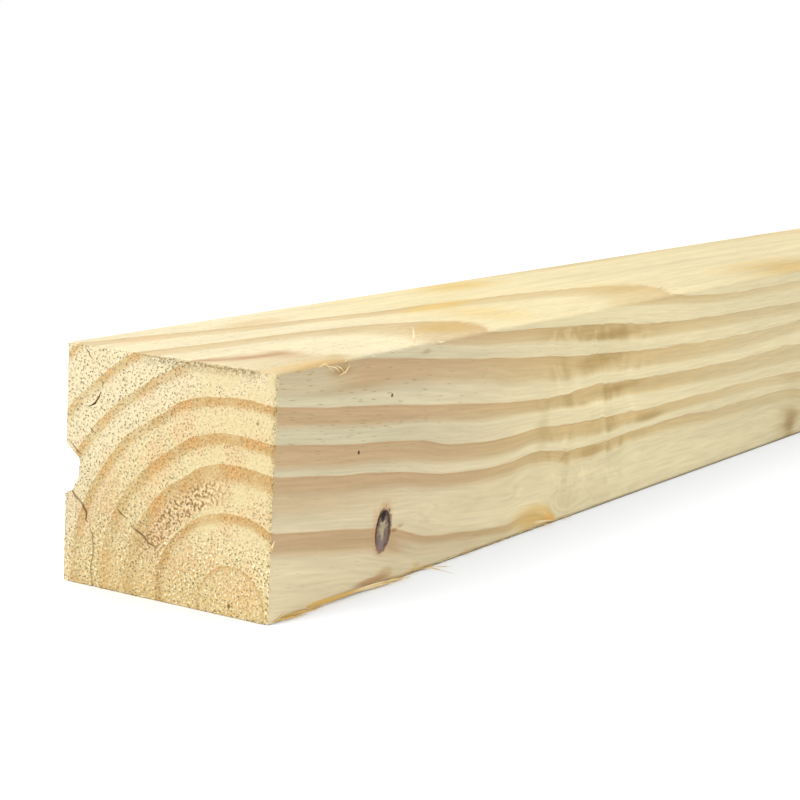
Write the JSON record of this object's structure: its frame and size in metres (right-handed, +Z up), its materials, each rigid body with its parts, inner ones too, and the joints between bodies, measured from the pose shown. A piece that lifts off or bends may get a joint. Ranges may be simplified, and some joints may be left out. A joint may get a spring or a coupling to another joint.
{
  "type": "sawn timber batten",
  "caption": "Square-edged sawn softwood batten with curved growth rings on its cut end, a torn chip, drying checks and a dead knot, for framing and joinery.",
  "frame": {"origin": "middle of the underside, on the floor that the piece lies on", "axes": "+X along the length, away from the torn near end; +Z up, through the smaller side of the section; -Y out of the side with the knot"},
  "size_m": [1.8, 0.05, 0.048],
  "materials": {
    "sawn_pine": "rough sawn, bare and unfinished"
  },
  "bodies": {
    "root": {"timber": "sawn_pine"}
  },
  "joints": []
}
